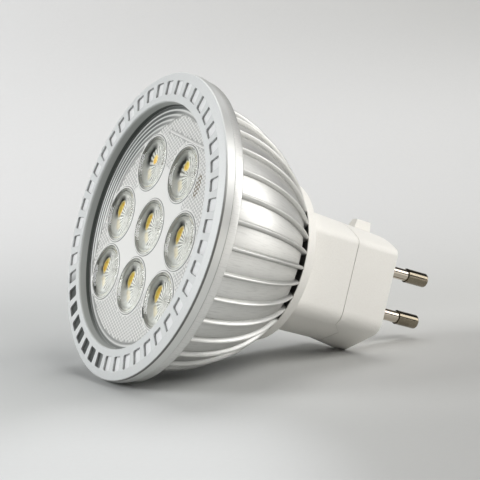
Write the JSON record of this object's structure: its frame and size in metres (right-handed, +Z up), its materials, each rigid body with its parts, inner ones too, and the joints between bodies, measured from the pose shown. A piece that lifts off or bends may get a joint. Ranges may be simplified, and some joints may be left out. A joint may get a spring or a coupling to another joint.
{
  "type": "spotlight bulb",
  "caption": "LED spotlight bulb with a slotted bezel round a clear lens plate, a ribbed metal bowl as heat sink and a white plastic base with contact pins, lying on its rim and heel.",
  "frame": {"origin": "on the floor under the middle of the bounding box of the lamp as it lies", "axes": "+Z up; the lamp's axis lies in the XZ plane, with the pins towards +X and 18.8 degrees downwards"},
  "size_m": [0.0802, 0.0636, 0.061],
  "materials": {
    "bezel_paint": "die-cast aluminium with satin silver-white paint",
    "bright_metal": "bright rolled sheet",
    "lens_plastic": "clear moulded acrylic",
    "bowl_paint": "cast aluminium with satin silver paint that has a fine metallic fleck",
    "base_plastic": "warm white, satin",
    "pin_plating": "bright nickel plate",
    "board_mask": "white solder mask",
    "led_ceramic": "white ceramic",
    "phosphor": "yellow phosphor",
    "plate_aluminium": "plain turned",
    "pad_silicone": "soft grey-blue silicone",
    "screw_steel": "zinc-plated",
    "driver_laminate": "green laminate",
    "ferrite": "dark grey ferrite",
    "coil_tape": "yellow tape over copper",
    "can_sleeve": "dark shrink sleeve",
    "film_case": "red dipped case",
    "chip_case": "black moulded case",
    "resistor_body": "blue-grey lacquer",
    "lead_white": "white insulation"
  },
  "bodies": {
    "root": {"bezel_ring": "bezel_paint", "backing_ring": "bright_metal", "lens_plate": "lens_plastic", "led_board": "board_mask", "thermal_pad": "pad_silicone", "mounting_plate": "plate_aluminium", "board_screws": "screw_steel", "heat_sink": "bowl_paint", "base_housing": "base_plastic", "base_cap": "base_plastic", "contact_pin_upper": "pin_plating", "contact_pin_lower": "pin_plating", "driver_board": "driver_laminate", "transformer_core": "ferrite", "transformer_coil": "coil_tape", "input_capacitor": "can_sleeve", "output_capacitor": "can_sleeve", "film_capacitor": "film_case", "rectifier": "chip_case", "control_chip": "chip_case", "fuse_resistor": "resistor_body", "choke": "ferrite", "led_lead_positive": "lead_white", "led_lead_negative": "lead_white", "pin_lead_upper": "lead_white", "pin_lead_lower": "lead_white", "led_body_1": "led_ceramic", "led_chip_1": "phosphor", "led_body_2": "led_ceramic", "led_chip_2": "phosphor", "led_body_3": "led_ceramic", "led_chip_3": "phosphor", "led_body_4": "led_ceramic", "led_chip_4": "phosphor", "led_body_5": "led_ceramic", "led_chip_5": "phosphor", "led_body_6": "led_ceramic", "led_chip_6": "phosphor", "led_body_7": "led_ceramic", "led_chip_7": "phosphor", "led_body_8": "led_ceramic", "led_chip_8": "phosphor"}
  },
  "joints": []
}
